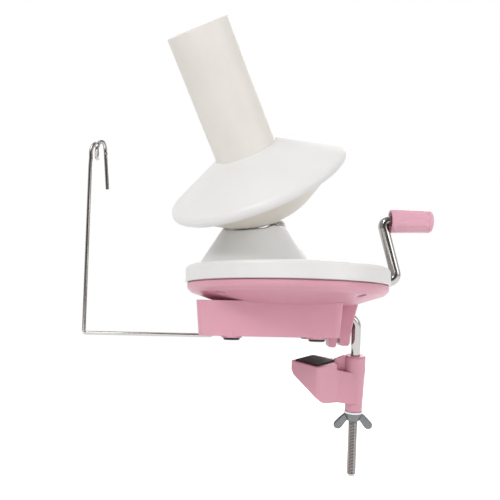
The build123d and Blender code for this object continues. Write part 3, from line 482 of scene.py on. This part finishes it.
def sink_lines(piece, offset, low, high, scale):
    """Draws in one line of each flute, offset lines from its middle, between two heights in mm."""
    bpy.ops.object.mode_set(mode="EDIT")
    bpy.ops.mesh.select_all(action="DESELECT")
    bpy.ops.object.mode_set(mode="OBJECT")
    for v in piece.data.vertices:
        line = round(atan2(v.co.y, v.co.x) / (2 * pi) * FLUTES * LINES_PER_FLUTE) % LINES_PER_FLUTE
        outside = v.co.xy.length > OUTER_SKIN_R
        v.select = outside and line == offset and low < v.co.z * 1000 < high
    bpy.ops.object.mode_set(mode="EDIT")
    bpy.ops.transform.resize(value=(scale, scale, 1), center_override=(0, 0, 0))
    bpy.ops.object.mode_set(mode="OBJECT")


for offset, scale in ((0, 0.952), (1, 0.968), (7, 0.968), (2, 0.990), (6, 0.990)):
    shallow = 1 - (1 - scale) * 0.6
    sink_lines(knob, offset, *FLUTE_ENDS, scale)
    sink_lines(knob, offset, FLUTE_ENDS[0] - FADE, FLUTE_ENDS[0], shallow)
    sink_lines(knob, offset, FLUTE_ENDS[1], FLUTE_ENDS[1] + FADE, shallow)
knob_place = Matrix.Translation((0, 0, KNOB_HEIGHT / 1000)) @ Matrix.Rotation(radians(90), 4, "Y")
knob_pink = plastic("knob_pink", (0.76, 0.40, 0.50), gloss=0.26, edge=0.0002)
settle(knob, knob_place, knob_pink, "knob", "crank_knob", angle=50)
finish(knob_pink, "knob_end_cap")

# ---------------------------------------------------------------- clamp jaw
# The jaw is a pink moulding on the rod, with a black pad let into its diamond-shaped top.
finish(plastic("jaw_pink", PINK, gloss=0.34, edge=0.0006), "clamp_jaw")
finish(rubber("pad_rubber", (0.010, 0.010, 0.011), 700), "jaw_pad")

# ---------------------------------------------------------------- wing nut
# Cast in zinc-grey metal: a tapered boss with two upswept wings, softened by the casting.
SWING, HOOK_Z, ROD_X, NUT_TOP = radians(11), 0.015, 45.7, -47.8
cast_zinc = metal("cast_zinc", (0.20, 0.205, 0.21), 0.38, (4, 4, 4), shade=0.35)
BOSS_LOW, BOSS_STEPS = -5.7, 64
WING_THICK, WING_EDGE, WING_ROUND, WING_ROUND_STEPS = 2.6, 0.9, 1.4, 3
boss_outline = rounded([(SHAFT_BORE_R, BOSS_LOW), (3.9, BOSS_LOW), (5.6, -2.0), (6.1, -0.5), (5.7, 0),
                        (SHAFT_BORE_R, 0)], 0.5)
nut = turn_on_lathe("wing_nut_casting", boss_outline, BOSS_STEPS)


def cast_plate(name, outline, thick, edge):
    """Flat casting drawn as (x, z) corners in mm, thick along y, with its edges rounded."""
    points = [(x / 1000, z / 1000) for x, z in outline]
    bpy.ops.object.select_all(action="DESELECT")
    bpy.ops.mesh.primitive_plane_add(size=0.001, location=(0, 0, 0))
    piece = bpy.context.object
    piece.name = name
    bpy.ops.object.mode_set(mode="EDIT")
    bpy.ops.mesh.select_all(action="SELECT")
    bpy.ops.mesh.merge(type="CENTER")
    bpy.ops.transform.translate(value=(points[0][0], -thick / 2000, points[0][1]))
    for here, there in zip(points, points[1:] + points[:1]):
        step = (there[0] - here[0], 0, there[1] - here[1])
        bpy.ops.mesh.extrude_region_move(TRANSFORM_OT_translate={"value": step})
    bpy.ops.mesh.select_all(action="SELECT")
    bpy.ops.mesh.remove_doubles(threshold=0.000001)
    bpy.ops.mesh.edge_face_add()
    bpy.ops.mesh.extrude_region_move(TRANSFORM_OT_translate={"value": (0, thick / 1000, 0)})
    bpy.ops.mesh.select_all(action="SELECT")
    bpy.ops.mesh.normals_make_consistent(inside=False)
    bpy.ops.object.mode_set(mode="OBJECT")
    soft = piece.modifiers.new("cast_edge", "BEVEL")
    soft.width = edge / 1000
    soft.segments = 3
    soft.angle_limit = radians(50)
    bpy.ops.object.modifier_apply(modifier=soft.name)
    return piece


def wing(name, side):
    """One wing of the nut, on the +X side where side is 1 and on the -X side where it is -1."""
    outline = [(side * x, z) for x, z in wing_outline]
    return cast_plate(name, rounded(outline, WING_ROUND, WING_ROUND_STEPS), WING_THICK, WING_EDGE)


wing_outline = [(3.4, -0.6), (5.8, -0.8), (8.0, -2.6), (12.6, -7.4), (12.9, -9.4), (12.2, -10.9),
                (10.4, -11.6), (8.8, -11.4), (7.4, -10.2), (4.9, -6.4), (3.4, -4.9)]
right_wing = wing("wing_right", 1)
left_wing = wing("wing_left", -1)
bpy.ops.object.select_all(action="DESELECT")
for piece in (nut, right_wing, left_wing):
    piece.select_set(True)
bpy.context.view_layer.objects.active = nut
bpy.ops.object.join()
nut_place = (Matrix.Translation((0, 0, HOOK_Z)) @ Matrix.Rotation(SWING, 4, "X")
             @ Matrix.Translation((ROD_X / 1000, 0, NUT_TOP / 1000 - HOOK_Z)))
settle(nut, nut_place, cast_zinc, "nut", "wing_nut")
